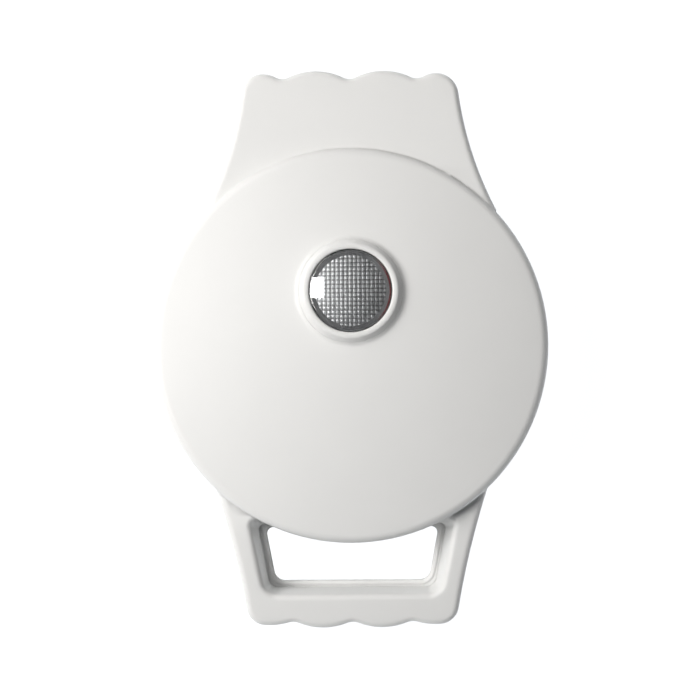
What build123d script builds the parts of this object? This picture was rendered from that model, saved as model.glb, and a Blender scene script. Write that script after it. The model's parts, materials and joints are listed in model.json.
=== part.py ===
from build123d import *

import os
from dataclasses import dataclass
from math import asin, atan2, cos, degrees, radians, sin, sqrt, tan

# Mini donut maker, closed: a round two-plate cooker with a scalloped hinge end and a loop handle.
# Millimetres, +Z up. X runs across the handle, -Y points to the handle and +Y to the hinge.
# Everything is drawn about the axis of the round body, then moved so that the origin is the
# middle of the footprint on the table.

# Overall form
drum_radius = 96.5  # side wall of the round body, at the lid's rim
drum_draft = 1.6  # how far the lid's wall has leaned in by its shoulder
wall = 2.5  # moulded shell thickness
parting_z = 46.0  # middle of the gap between lid and base
rim_gap = 1.0  # between the two shells' rims
frame_recess = 1.5  # how far each inner frame lies inside its shell's rim
frame_thickness = 2.5
frame_clearance = 0.3  # between an inner frame and its shell's wall

# Lid shell
lid_shoulder_z = 78.5
dome_rise = 7.5
lid_edge_radius = 4.6
lid_handle_root_z = 68.0  # top of the handle, level with the body's side wall
lid_handle_tip_z = 63.0
lid_tab_root_z = 74.5  # top of the hinge end, level with the body's side wall
lid_tab_tip_z = 71.0
lid_end_edge_radius = 3.0

# Base shell
foot_height = 4.5
base_floor_radius = 87.0
base_flank_height = 15.0  # the wall leans in below this height above the floor
base_floor_edge_radius = 6.0
base_flank_edge_radius = 20.0
base_handle_root_z = 25.0  # underside of the handle, level with the body's side wall
base_handle_tip_z = 29.0
base_handle_edge_radius = 4.0
base_rear_y = 112.0  # rear wall of the base, short of the lid's scallops
base_rear_corner_radius = 8.0
base_rear_edge_radius = 3.0

# Window of the handle
window_angle = 10.8  # the sides close in towards the front
window_middle_y = 103.7
lid_window_half_width = 43.0  # at the lid's rim, at window_middle_y
lid_window_front_y = 118.0
lid_window_draft = 8.0  # degrees from upright
base_window_half_width = 39.4
base_window_front_y = 114.8
base_window_draft = 2.0
window_front_radius = 5.0
window_rear_radius = 3.0

# Lens and its collar on the lid
lens_offset_y = 26.2  # from the body's axis towards the hinge
lens_radius = 19.8
lens_clearance = 0.2
lens_flange_reach = 1.5  # how far the flange reaches under the collar
lens_flange_thickness = 1.5
lens_crown = 1.6  # middle of the lens above its own edge
lens_recess = 0.6  # edge of the lens below the collar
lens_pocket_radius = 17.0  # hollow underside, leaving a clear ring round it
lens_glass = 2.0  # thickness at the edge of the hollow
collar_height = 4.0
collar_seat = 2.5  # collar left above the lens flange
collar_top_width = 2.7
collar_slope_width = 3.4
collar_blend_radius = 3.0
collar_edge_radius = 0.8

# Lamp holder under the lens
lamp_cup_depth = 12.5
lamp_cup_floor = 1.5
lamp_cup_end_radius = 13.0
lamp_cup_wall = 1.2
lamp_flange_drop = 8.0  # fixing flange, below the lens flange
lamp_flange_radius = 21.5
lamp_flange_thickness = 1.5
lamp_radius = 2.5
lamp_length = 8.0
lamp_clearance = 0.08
lamp_pitch = 12.0
lamp_base_reach = 0.6  # of the lamp's small flange beyond its body
lamp_base_thickness = 0.8
lamp_screw_radius = 26.5  # their distance from the lens axis
lamp_screw_angle = 30.0  # of the first of three

# Cooking plates
plate_gap = 0.4  # between the two closed plates
plate_radius = 86.5
plate_skirt_radius = 83.0
frame_opening_clearance = 0.6
cavity_count = 6  # round the middle one
cavity_ring_radius = 54.0
donut_outer_radius = 24.5
donut_hole_radius = 7.5
cavity_depth = 10.5
cavity_draft = 12.0  # degrees from upright
casting_wall = 2.6
casting_edge_radius = 4.0

# Heating elements
heater_ring_radius = 54.0
heater_tube_radius = 3.3
heater_clearance = 0.1
heater_cover = 0.3  # metal between the groove and the backs of the cavities
heater_rib_half_width = 6.0
heater_sink = 0.9  # middle of the tube inside the open edge of its groove
heater_open_angle = 44.0  # left free at the rear for the two ends
heater_bend_radius = 6.0
heater_leg_length = 2.0
terminal_pin_radius = 1.2
terminal_pin_length = 5.0
terminal_bead_radius = 2.6
terminal_bead_length = 1.5

# Hinge
hinge_y = 119.0
hinge_pin_radius = 2.0
hinge_running_clearance = 0.06
hinge_press_clearance = 0.02
hinge_barrel_radius = 5.0
hinge_lug_x = 36.0
hinge_lug_width = 8.0
hinge_ear_width = 4.0
hinge_side_gap = 0.4
hinge_slot_clearance = 2.5
hinge_lug_level = 3.0  # level underside in front of the axis, where the open lid's wall passes

# Screws and their bosses
screw_radius = 1.5
screw_head_radius = 2.8
screw_head_height = 1.8
screw_socket_radius = 1.2
screw_length = 10.0
screw_clearance = 0.1
short_screw_length = 5.0
boss_radius = 3.6
boss_height = 8.0  # of the base frame's bosses
side_screw_radius = 90.5  # distance from the body's axis
side_screw_angle = 48.0
handle_screw_x = 38.0
handle_screw_inset = 8.6  # back from the tips of the handle's scallops
rear_screw_x = 23.0
rear_screw_y = 103.0
well_clearance = 0.8
well_wall = 2.4

# Clips that hold the plates down
clip_count = 3
clip_radius = 74.0  # distance of their screws from the body's axis
clip_width = 10.0
clip_thickness = 1.2
clip_step = 4.0
clip_foot = 5.0  # inward of the screw
clip_reach = 4.5  # beyond the edge of the plate
plate_screw_length = 8.0

# Feet
foot_radius = 8.0
foot_recess = 1.0
foot_clearance = 0.2
foot_edge_radius = 1.2
front_foot_x = 51.0
front_foot_y = -51.0
rear_foot_x = 42.0
rear_foot_y = 96.0

# Heat shields
shield_thickness = 0.6
shield_radius = 79.0
shield_rim = 5.0
shield_gap = 1.4  # to the thermostat beside it
shield_corner_radius = 3.0
shield_post_ring = 66.0
shield_post_angle = 30.0  # of the first of three
shield_notch_half_width = 24.0
shield_notch_y = 42.0
shield_eye_radius = 12.0

# Thermostats
thermostat_radius = 8.0
thermostat_height = 7.5
thermostat_ear_pitch = 24.0
thermostat_ear_radius = 3.6
thermostat_ear_thickness = 1.0
thermostat_boss_height = 2.6
thermostat_edge_radius = 1.0
thermostat_tab_x = 4.0
thermostat_tab_thickness = 0.8
thermostat_tab_width = 6.3
thermostat_tab_length = 4.0

# Cord inlet
gland_bore_radius = 3.4
gland_radius = 7.0
gland_clearance = 0.1
gland_flange_radius = 9.5
gland_flange_thickness = 2.5
gland_length = 16.0
gland_z = 24.0

# Cord clamp and terminal block
clamp_gap = 2.0  # behind the bushing
clamp_depth = 8.0
clamp_bar = 2.5
clamp_screw_x = 9.5
clamp_screw_length = 8.0
block_gap = 5.0  # in front of the clamp
block_width = 34.0
block_depth = 14.0
block_height = 11.0
block_screw_pitch = 10.0
block_bore_radius = 2.0
block_corner_radius = 1.5

# Ribs that carry the base's inner frame
rib_thickness = 2.0
rib_inner_radius = 85.0
rib_angles = (0.0, 48.0, 132.0, 180.0, 228.0, 312.0)

# Vents in the floor
vent_count = 7  # in each of two rows
vent_width = 2.4
vent_length = 26.0
vent_pitch = 8.0
vent_row_y = 19.0


@dataclass
class ScallopedEnd:
    """Plan of one end: two main lobes, two outer lobes, rounded corners and flared sides."""

    side: int  # +1 at the hinge, -1 at the handle
    reach: float  # tips of the main lobes, from the body's axis
    lobe_pitch: float  # between the two main tips
    lobe_depth: float  # main tips above the unrounded valleys
    outer_lobe_x: float
    outer_lobe_drop: float
    corner_x: float
    corner_drop: float
    middle_x: float  # half width part way back
    middle_y: float
    root_x: float  # half width where the side meets the round body
    root_y: float
    valley_radius: float
    corner_radius: float


hinge_end = ScallopedEnd(
    side=1,
    reach=132.8,
    lobe_pitch=32.8,
    lobe_depth=4.9,
    outer_lobe_x=41.3,
    outer_lobe_drop=1.3,
    corner_x=52.2,
    corner_drop=6.0,
    middle_x=57.4,
    middle_y=98.5,
    root_x=70.5,
    root_y=64.8,
    valley_radius=6.5,
    corner_radius=11.0,
)

handle_end = ScallopedEnd(
    side=-1,
    reach=136.9,
    lobe_pitch=28.6,
    lobe_depth=3.5,
    outer_lobe_x=41.8,
    outer_lobe_drop=1.4,
    corner_x=50.4,
    corner_drop=3.0,
    middle_x=57.0,
    middle_y=100.0,
    root_x=66.0,
    root_y=68.0,
    valley_radius=7.5,
    corner_radius=9.5,
)

# Levels and sizes that follow from those above
clamp_y = base_rear_y - gland_length - clamp_gap - clamp_depth / 2
block_y = clamp_y - clamp_depth / 2 - block_gap - block_depth / 2
core_depth = 45.0  # the ends are drawn on to this distance from the axis, inside the round body
lid_rim_z = parting_z + rim_gap / 2
base_rim_z = parting_z - rim_gap / 2
base_bottom_z = foot_height
lid_frame_z = lid_rim_z + frame_recess  # underside of the lid's inner frame
lid_frame_top_z = lid_frame_z + frame_thickness
base_frame_top_z = base_rim_z - frame_recess
base_frame_z = base_frame_top_z - frame_thickness
plate_face_z = parting_z - plate_gap / 2  # face of the lower plate
plate_rim_thickness = plate_face_z - base_frame_top_z  # part of the plate that lies on its frame
shoulder_radius = drum_radius - drum_draft
dome_radius = (shoulder_radius**2 + dome_rise**2) / (2 * dome_rise)
dome_centre_z = lid_shoulder_z + dome_rise - dome_radius
lens_tilt = degrees(asin(lens_offset_y / dome_radius))
origin_shift_y = (handle_end.reach - hinge_end.reach) / 2
cavity_back_z = plate_face_z - cavity_depth - casting_wall
heater_z = cavity_back_z - heater_cover - heater_clearance - heater_tube_radius
shield_face_z = cavity_back_z - thermostat_height - shield_gap
shield_back_z = shield_face_z - shield_thickness
lens_flange_z = collar_height - collar_seat - lens_flange_thickness  # along the lens axis
lamp_flange_z = lens_flange_z - lamp_flange_drop
well_shelf_z = base_frame_z - boss_height - wall  # seat of the case screws' heads
lamp_x = (-lamp_pitch / 2, lamp_pitch / 2)
ear_places = [(-thermostat_ear_pitch / 2, 0), (thermostat_ear_pitch / 2, 0)]
inner_frame_inset = wall + frame_clearance
screw_bore = screw_radius + screw_clearance
beyond = 5.0  # how far a cutter runs past what it cuts


# Helpers


def spun(face):
    """Solid of revolution about Z from a profile drawn as (radius, height)."""
    return revolve(Plane.XZ * face, Axis.Z)


def disc(radius, low, high):
    """Cylinder about Z between two heights."""
    return Pos(0, 0, low) * extrude(Circle(radius), high - low)


def at_each(points, shape):
    """Copies of a shape at plan positions, as a list."""
    return [Pos(x, y, 0) * shape for x, y in points]


def facing_axis(points, shape):
    """Copies of a shape at plan positions, each turned so that its own +X points to the axis."""
    return [Pos(x, y, 0) * Rot(0, 0, degrees(atan2(-y, -x))) * shape for x, y in points]


def rounded(solid, edges, radius):
    """Edges rounded, unless the wall has used the radius up."""
    return fillet(edges, radius) if radius > 0.2 else solid


def shrunk(face, inset):
    """The face inside a wall, its outline redrawn as true lines and arcs."""
    if not inset:
        return face
    outline = Curve()
    for edge in offset(face, -inset).edges():
        start, middle, end = edge @ 0, edge @ 0.5, edge @ 1
        bow = (middle - (start + end) / 2).length
        outline += Line(start, end) if bow < 0.0001 else ThreePointArc(start, middle, end)
    return make_face(outline)


def over_parting(shape):
    """Mirror image on the other side of the parting plane."""
    return mirror(shape, about=Plane.XY.offset(parting_z))


def in_lens_frame(shape):
    """Move a shape drawn about Z, from the dome's surface, to the lens axis."""
    return Pos(0, 0, dome_centre_z) * Rot(-lens_tilt, 0, 0) * Pos(0, 0, dome_radius) * shape


def round_positions(count, radius, first_angle):
    angles = [radians(first_angle + 360 * i / count) for i in range(count)]
    return [(radius * cos(a), radius * sin(a)) for a in angles]


cavity_positions = [(0.0, 0.0)] + round_positions(cavity_count, cavity_ring_radius, 0)
side_angles = [side_screw_angle, 180 - side_screw_angle]
side_angles += [-angle for angle in side_angles]
handle_screw_y = -(handle_end.reach - handle_screw_inset)
end_screw_positions = [(x, handle_screw_y) for x in (-handle_screw_x, handle_screw_x)]
end_screw_positions += [(x, rear_screw_y) for x in (-rear_screw_x, rear_screw_x)]
side_screw_positions = [
    (side_screw_radius * cos(radians(a)), side_screw_radius * sin(radians(a))) for a in side_angles
]
lid_screw_positions = end_screw_positions + side_screw_positions
shield_post_positions = round_positions(3, shield_post_ring, shield_post_angle)


def pan_screw(length):
    """Screw with its head below z = 0 and its shank pointing up."""
    head = Pos(0, 0, -screw_head_height) * extrude(Circle(screw_head_radius), screw_head_height)
    head = chamfer(head.edges().group_by(Axis.Z)[0], screw_head_height / 2)
    socket = RegularPolygon(screw_socket_radius, 6)
    recess = Pos(0, 0, -screw_head_height) * extrude(socket, screw_head_height / 2)
    return head - recess + extrude(Circle(screw_radius), length)


# Moulded forms. Each is a closed solid; inset gives the same form inside a wall.


def end_face(end, inset=0.0):
    """Plan of one end as a face at z = 0, shrunk by inset all round."""
    tip = (end.lobe_pitch / 2, end.reach)
    valley_y = end.reach - end.lobe_depth
    valley = (end.lobe_pitch, valley_y)
    outer_tip = (end.outer_lobe_x, end.reach - end.outer_lobe_drop)
    corner = (end.corner_x, end.reach - end.corner_drop)
    root = (end.root_x, end.root_y)
    half = Curve() + [
        ThreePointArc((0, valley_y), tip, valley),
        ThreePointArc(valley, outer_tip, corner),
        ThreePointArc(corner, (end.middle_x, end.middle_y), root),
        Line(root, (end.root_x, core_depth)),
    ]
    outline = half + mirror(half, about=Plane.YZ)
    outline += Line((-end.root_x, core_depth), (end.root_x, core_depth))
    face = make_face(outline)
    valleys = face.vertices().filter_by(lambda v: abs(v.Y - valley_y) < 0.01)
    face = fillet(valleys, end.valley_radius)
    corners = face.vertices().filter_by(lambda v: abs(v.Y - corner[1]) < 0.01)
    face = fillet(corners, end.corner_radius)
    face = shrunk(face, inset)
    return face if end.side > 0 else mirror(face, about=Plane.XZ)


def crowned_space(end, flat_z, root_z, tip_z):
    """Space between a level and a surface that curves from above the axis down to the tips."""
    span = end.reach**2 - drum_radius**2 + tip_z**2 - root_z**2
    centre_z = span / (2 * (tip_z - root_z))
    radius = sqrt(drum_radius**2 + (root_z - centre_z) ** 2)
    side = 1 if root_z > centre_z else -1
    near, middle, far = [
        (y, centre_z + side * sqrt(radius**2 - y**2)) for y in (0, end.reach / 2, end.reach + beyond)
    ]
    outline = Curve() + [
        Line((0, flat_z), near),
        ThreePointArc(near, middle, far),
        Line(far, (far[0], flat_z)),
        Line((far[0], flat_z), (0, flat_z)),
    ]
    space = extrude(Plane.YZ * make_face(outline), end.root_x + beyond, both=True)
    return space if end.side > 0 else mirror(space, about=Plane.XZ)


def inner_half(face):
    """Right half of a symmetrical section, ready to be spun about the axis."""
    box = face.bounding_box()
    half = Pos(box.max.X / 2, box.center().Y) * Rectangle(box.max.X, 2 * box.size.Y)
    return face & half


def lid_drum(inset=0.0):
    """Round part of the lid: leaning side wall, rounded shoulder and domed top."""
    low = lid_rim_z - 2 * inset
    lean = drum_draft / (lid_shoulder_z - lid_rim_z)
    rim = (drum_radius + lean * (lid_rim_z - low), low)
    shoulder = (shoulder_radius, lid_shoulder_z)
    crown = (0, lid_shoulder_z + dome_rise)
    outline = Curve() + [
        Line((-rim[0], low), rim),
        Line(rim, shoulder),
        ThreePointArc(shoulder, crown, (-shoulder[0], shoulder[1])),
        Line((-shoulder[0], shoulder[1]), (-rim[0], low)),
    ]
    face = make_face(outline)
    face = fillet(face.vertices().filter_by(lambda v: v.Y > low + 1), lid_edge_radius)
    return spun(inner_half(shrunk(face, inset)))


def base_drum(inset=0.0):
    """Round part of the base: upright wall that leans in to a flat floor."""
    high = base_rim_z + 2 * inset
    flank_z = base_bottom_z + base_flank_height
    half = [(base_floor_radius, base_bottom_z), (drum_radius, flank_z), (drum_radius, high)]
    points = half + [(-x, z) for x, z in reversed(half)]
    face = make_face(Polyline(*points, close=True))
    floor_corners = face.vertices().group_by(Axis.Y)[0]
    face = fillet(floor_corners, base_floor_edge_radius)
    flank_corners = face.vertices().filter_by(lambda v: abs(v.Y - flank_z) < 0.01)
    face = fillet(flank_corners, base_flank_edge_radius)
    return spun(inner_half(shrunk(face, inset)))


def window_face(half_width, front_y, grow):
    """Plan of the handle's window: sides that close in, rounded front corners, open inwards."""
    slope = tan(radians(window_angle))
    side_x = half_width + grow / cos(radians(window_angle))
    back, front = core_depth + beyond, front_y + grow
    back_x = side_x - (back - window_middle_y) * slope
    front_x = side_x - (front - window_middle_y) * slope
    points = [(-back_x, -back), (back_x, -back), (front_x, -front), (-front_x, -front)]
    face = make_face(Polyline(*points, close=True))
    return fillet(face.vertices().group_by(Axis.Y)[0], window_front_radius + grow)


def window_space(half_width, front_y, draft, rim_z, far_z, grow=0.0):
    """Window through one half of the handle, wider away from the parting."""
    widening = tan(radians(draft))
    levels = [rim_z - beyond * (1 if far_z > rim_z else -1), far_z]
    faces = []
    for z in levels:
        depth = abs(z - rim_z) * (1 if (z - rim_z) * (far_z - rim_z) > 0 else -1)
        faces.append(Pos(0, 0, z) * window_face(half_width, front_y, grow + depth * widening))
    return loft(faces, ruled=True)


def window_beside(drum, space):
    """The window outside the round body, with its rear corners rounded."""
    space = space - drum
    corners = space.edges().filter_by(
        lambda e: abs(e.tangent_at(0.5).Z) > 0.9 and abs(e.center().Y) < drum_radius
    )
    return fillet(corners, window_rear_radius)


def top_rim(solid, high_side):
    """Edges round the sloped face of an end, apart from the one inside the round body."""
    face = solid.faces().filter_by(lambda f: f.normal_at().Z * high_side > 0.8).sort_by(SortBy.AREA)[-1]
    return face.edges().filter_by(lambda e: abs(e.center().Y) > core_depth + beyond)


def lid_form(inset=0.0):
    drum = lid_drum(inset)
    low, high = lid_rim_z - inset, lid_shoulder_z + dome_rise
    forms = drum
    for end, root_z, tip_z in [
        (hinge_end, lid_tab_root_z, lid_tab_tip_z),
        (handle_end, lid_handle_root_z, lid_handle_tip_z),
    ]:
        block = Pos(0, 0, low) * extrude(end_face(end, inset), high - low)
        block = block & crowned_space(end, low - beyond, root_z - inset, tip_z - inset)
        if end is handle_end:
            sizes = (lid_window_half_width, lid_window_front_y, lid_window_draft)
            space = window_space(*sizes, lid_rim_z, high, grow=inset)
            block -= space if inset else window_beside(drum, space)
        radius = lid_end_edge_radius - inset
        forms += rounded(block, top_rim(block, 1), radius)
    return forms


def base_form(inset=0.0):
    drum = base_drum(inset)
    high = base_rim_z + inset
    low = base_bottom_z + inset
    handle = Pos(0, 0, low) * extrude(end_face(handle_end, inset), high - low)
    wedge = crowned_space(handle_end, high + beyond, base_handle_root_z + inset, base_handle_tip_z + inset)
    handle = handle & wedge
    sizes = (base_window_half_width, base_window_front_y, base_window_draft)
    space = window_space(*sizes, base_rim_z, low, grow=inset)
    handle -= space if inset else window_beside(drum, space)
    handle = rounded(handle, top_rim(handle, -1), base_handle_edge_radius - inset)
    short = Pos(0, base_rear_y / 2) * Rectangle(4 * hinge_end.root_x, base_rear_y)
    plan = end_face(hinge_end) & short
    plan = fillet(plan.vertices().group_by(Axis.Y)[-1], base_rear_corner_radius)
    rear = Pos(0, 0, low) * extrude(shrunk(plan, inset), high - low)
    rear = rounded(rear, top_rim(rear, -1), base_rear_edge_radius - inset)
    return drum + handle + rear


# Lid shell, lens and lamps


def collar():
    """Raised ring round the lens, drawn about the lens axis from the dome's surface."""
    inner = lens_radius + lens_clearance
    top = inner + collar_top_width
    foot = top + collar_slope_width
    points = [(inner, -wall), (inner, collar_height), (top, collar_height), (foot, -wall / 2)]
    face = make_face(Polyline(*points, (foot, -wall), close=True))
    upper = face.vertices().group_by(Axis.Y)[-1]
    return in_lens_frame(spun(fillet(upper, collar_edge_radius)))


def lens_seat():
    """Hole for the lens with a wider recess under the collar for its flange."""
    flange = lens_radius + lens_flange_reach + lens_clearance
    seat_z = collar_height - collar_seat
    hole = disc(lens_radius + lens_clearance, seat_z - beyond, collar_height + beyond)
    return in_lens_frame(hole + disc(flange, -2 * beyond, seat_z))


def lamp_screw_places(shape):
    places = round_positions(3, lamp_screw_radius, lamp_screw_angle)
    return [in_lens_frame(Pos(x, y, lamp_flange_z) * shape) for x, y in places]


def shield_screw_places(shape):
    """The shape at the three posts of the base's heat shield, drawn from the shield's back."""
    return [Pos(x, y, shield_back_z) * shape for x, y in shield_post_positions]


def lid_cover():
    outer = lid_form() + collar()
    cones = outer.faces().filter_by(GeomType.CONE)
    slope = cones.sort_by_distance((0, lens_offset_y, lid_shoulder_z + dome_rise))[0]
    outer = fillet(slope.edges().sort_by(Axis.Z)[0], collar_blend_radius)
    posts = facing_axis(lid_screw_positions, disc(boss_radius, lid_frame_top_z, lid_shoulder_z))
    shield_post = disc(boss_radius, -shield_back_z, 0)
    posts += [over_parting(post) for post in shield_screw_places(shield_post)]
    posts += lamp_screw_places(disc(boss_radius, 0, -lamp_flange_z))
    room = lid_form(wall) - posts
    case_bore = disc(screw_bore, lid_frame_top_z, lid_frame_z + screw_length + screw_clearance)
    short_bore = disc(screw_bore, 0, short_screw_length)
    bores = at_each(lid_screw_positions, case_bore) + lamp_screw_places(short_bore)
    for bore in shield_screw_places(disc(screw_bore, -short_screw_length, 0)):
        bores.append(over_parting(bore))
    return outer - [room, lens_seat()] - bores


def indicator_lens():
    """Crowned clear disc with a flange below and a hollow underside."""
    edge_z = collar_height - lens_recess
    flange = lens_radius + lens_flange_reach
    flange_top = lens_flange_z + lens_flange_thickness
    crown = (0, edge_z + lens_crown)
    quarter = (lens_radius / 2, edge_z + 0.75 * lens_crown)
    outline = Curve() + [
        ThreePointArc(crown, quarter, (lens_radius, edge_z)),
        Polyline((lens_radius, edge_z), (lens_radius, flange_top), (flange, flange_top)),
        Polyline((flange, flange_top), (flange, lens_flange_z), (lens_pocket_radius, lens_flange_z)),
        Line((lens_pocket_radius, lens_flange_z), (lens_pocket_radius, edge_z - lens_glass)),
        Line((lens_pocket_radius, edge_z - lens_glass), (0, edge_z - lens_glass)),
        Line((0, edge_z - lens_glass), crown),
    ]
    return in_lens_frame(spun(make_face(outline)))


def lamp_holder():
    """Tapered cup that presses the lens flange to the collar, with a flange for its screws."""
    mouth = lens_pocket_radius + lamp_cup_wall
    floor_z = lens_flange_z - lamp_cup_depth
    low_z = floor_z - lamp_cup_floor
    outer = [(0, low_z), (lamp_cup_end_radius + lamp_cup_wall, low_z)]
    outer += [(mouth + lamp_cup_wall, lens_flange_z), (mouth, lens_flange_z)]
    inner = [(lamp_cup_end_radius, floor_z), (0, floor_z)]
    cup = spun(make_face(Polyline(*outer, *inner, close=True)))
    ear = Pos(lamp_screw_radius / 2, 0) * SlotCenterToCenter(lamp_screw_radius, 2 * boss_radius)
    plan = Circle(lamp_flange_radius) + [Rot(0, 0, lamp_screw_angle + 120 * i) * ear for i in range(3)]
    flange = Pos(0, 0, lamp_flange_z) * extrude(plan, -lamp_flange_thickness)
    room = spun(make_face(Polyline((0, lens_flange_z), (mouth, lens_flange_z), *inner, close=True)))
    bores = [Pos(x, 0, 0) * disc(lamp_radius + lamp_clearance, low_z - 1, floor_z + 1) for x in lamp_x]
    screw_holes = round_positions(3, lamp_screw_radius, lamp_screw_angle)
    bores += at_each(screw_holes, disc(screw_bore, lamp_flange_z - beyond, lamp_flange_z + 1))
    return in_lens_frame((cup + flange) - [room] - bores)


def lamp(x):
    """Signal lamp: round-headed body through the cup's floor, on a small flange."""
    low_z = lens_flange_z - lamp_cup_depth - lamp_cup_floor
    body = disc(lamp_radius, low_z, low_z + lamp_length)
    body = fillet(body.edges().group_by(Axis.Z)[-1], 0.98 * lamp_radius)
    body += disc(lamp_radius + lamp_base_reach, low_z - lamp_base_thickness, low_z)
    return in_lens_frame(Pos(x, 0, 0) * body)


# Inner frames


def frame_slab(form, low):
    """Flat frame that fills a shell inside its rim, open for the cooking plate."""
    slab = Pos(0, 0, low) * extrude(Rectangle(4 * drum_radius, 4 * drum_radius), frame_thickness)
    opening = disc(plate_skirt_radius + frame_opening_clearance, low - 1, low + frame_thickness + 1)
    return (form(inner_frame_inset) & slab) - opening


def hinge_profile(bottom_z, top_z):
    """Barrel round the hinge axis with a straight neck, drawn in the plane across it."""
    neck_z = (bottom_z + top_z) / 2
    neck = Pos(hinge_y, neck_z) * Rectangle(2 * hinge_barrel_radius, top_z - bottom_z)
    return Pos(hinge_y, parting_z) * Circle(hinge_barrel_radius) + neck


def hinge_cylinder(radius, x, width):
    return Pos(x, hinge_y, parting_z) * Rot(0, 90, 0) * Cylinder(radius, width)


def across(face, x, width):
    """Extrude a face drawn as (y, z) over a width centred on x."""
    return Pos(x, 0, 0) * extrude(Plane.YZ * face, width / 2, both=True)


def lid_frame():
    frame = frame_slab(lid_form, lid_frame_z)
    slot_width = hinge_lug_width + 2 * hinge_side_gap
    slot_length = 2 * (hinge_barrel_radius + hinge_slot_clearance)
    slot = Pos(0, hinge_y, lid_frame_z) * extrude(Rectangle(slot_width, slot_length), beyond, both=True)
    lugs = (-hinge_lug_x, hinge_lug_x)
    frame -= [Pos(x, 0, 0) * slot for x in lugs]
    ear_offset = (slot_width + hinge_ear_width) / 2
    ears = [x + side * ear_offset for x in lugs for side in (-1, 1)]
    profile = hinge_profile(parting_z, lid_frame_top_z)
    frame += [across(profile, x, hinge_ear_width) for x in ears]
    bores = [hinge_cylinder(hinge_pin_radius + hinge_press_clearance, x, hinge_ear_width + 1) for x in ears]
    bores += at_each(lid_screw_positions, disc(screw_bore, lid_frame_z - 1, lid_frame_top_z + 1))
    return frame - bores


def base_frame():
    frame = frame_slab(base_form, base_frame_z)
    boss_low = base_frame_z - boss_height
    frame += at_each(end_screw_positions, disc(boss_radius, boss_low, base_frame_z))
    bore_top = well_shelf_z + screw_length + screw_clearance
    return frame - at_each(end_screw_positions, disc(screw_bore, boss_low - 1, bore_top))


# Base shell


def hinge_lug(x):
    """Barrel carried by a neck whose underside is level, then falls at 45 degrees to the rear wall."""
    root_y = base_rear_y - wall / 2
    low_z = parting_z - hinge_barrel_radius
    bend_y = hinge_y - hinge_lug_level
    top = [(root_y, base_rim_z), (hinge_y, base_rim_z)]
    under = [(hinge_y, low_z), (bend_y, low_z), (root_y, low_z - (bend_y - root_y))]
    neck = Polyline(*top, *under, close=True)
    profile = make_face(neck) + Pos(hinge_y, parting_z) * Circle(hinge_barrel_radius)
    bore = hinge_cylinder(hinge_pin_radius + hinge_running_clearance, x, hinge_lug_width + 1)
    return across(profile, x, hinge_lug_width) - bore


def foot_places():
    front = [(x, front_foot_y) for x in (-front_foot_x, front_foot_x)]
    return front + [(x, rear_foot_y) for x in (-rear_foot_x, rear_foot_x)]


def floor_vents():
    slot = Rot(0, 0, 90) * SlotOverall(vent_length, vent_width)
    first = -(vent_count - 1) / 2 * vent_pitch
    places = [(first + i * vent_pitch, y) for y in (-vent_row_y, vent_row_y) for i in range(vent_count)]
    return [Pos(x, y, base_bottom_z - 1) * extrude(slot, wall + 2) for x, y in places]


def along_gland(radius, near_y, far_y):
    """Cylinder about the cord inlet's axis between two distances."""
    solid = extrude(Plane.XZ * Circle(radius), near_y - far_y)
    return Pos(0, near_y, gland_z) * solid


def base_cover():
    boss_low = base_frame_z - boss_height
    well_radius = screw_head_radius + well_clearance
    floor_z = base_bottom_z + wall
    posts = at_each(end_screw_positions, disc(well_radius + well_wall, 0, boss_low))
    posts += shield_screw_places(disc(boss_radius, -shield_back_z, 0))
    clamp_post = disc(boss_radius, 0, gland_z)
    posts += at_each([(-clamp_screw_x, clamp_y), (clamp_screw_x, clamp_y)], clamp_post)
    anvil = Rectangle(2 * clamp_screw_x, clamp_depth)
    posts.append(Pos(0, clamp_y, 0) * extrude(anvil, gland_z - gland_bore_radius))
    rib = Pos(rib_inner_radius + beyond, 0) * Rectangle(2 * beyond, rib_thickness)
    posts += [Rot(0, 0, angle) * extrude(rib, base_frame_z) for angle in rib_angles]
    cover = base_form() - (base_form(wall) - posts)
    cover += [hinge_lug(x) for x in (-hinge_lug_x, hinge_lug_x)]
    wells = at_each(end_screw_positions, disc(well_radius, 0, well_shelf_z))
    wells += at_each(end_screw_positions, disc(screw_bore, 0, boss_low + 1))
    wells += at_each(foot_places(), disc(foot_radius + foot_clearance, 0, base_bottom_z + foot_recess))
    wells += shield_screw_places(disc(screw_bore, shield_thickness - short_screw_length, 1))
    clamp_bore = disc(screw_bore, gland_z + clamp_bar - clamp_screw_length, gland_z + 1)
    wells += at_each([(-clamp_screw_x, clamp_y), (clamp_screw_x, clamp_y)], clamp_bore)
    wells.append(along_gland(gland_radius, base_rear_y + 1, base_rear_y - wall - 1))
    return cover - wells - floor_vents()


def foot(x, y):
    body = disc(foot_radius, 0, base_bottom_z + foot_recess)
    return Pos(x, y, 0) * fillet(body.edges().group_by(Axis.Z)[0], foot_edge_radius)


def cord_bushing():
    """Sleeve through the rear wall with a rounded flange outside."""
    sleeve = along_gland(gland_radius - gland_clearance, base_rear_y, base_rear_y - gland_length)
    flange = along_gland(gland_flange_radius, base_rear_y + gland_flange_thickness, base_rear_y)
    flange = fillet(flange.edges().group_by(Axis.Y)[-1], gland_flange_thickness / 2)
    ends = (base_rear_y + gland_flange_thickness + 1, base_rear_y - gland_length - 1)
    return sleeve + flange - along_gland(gland_bore_radius, *ends)


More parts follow.
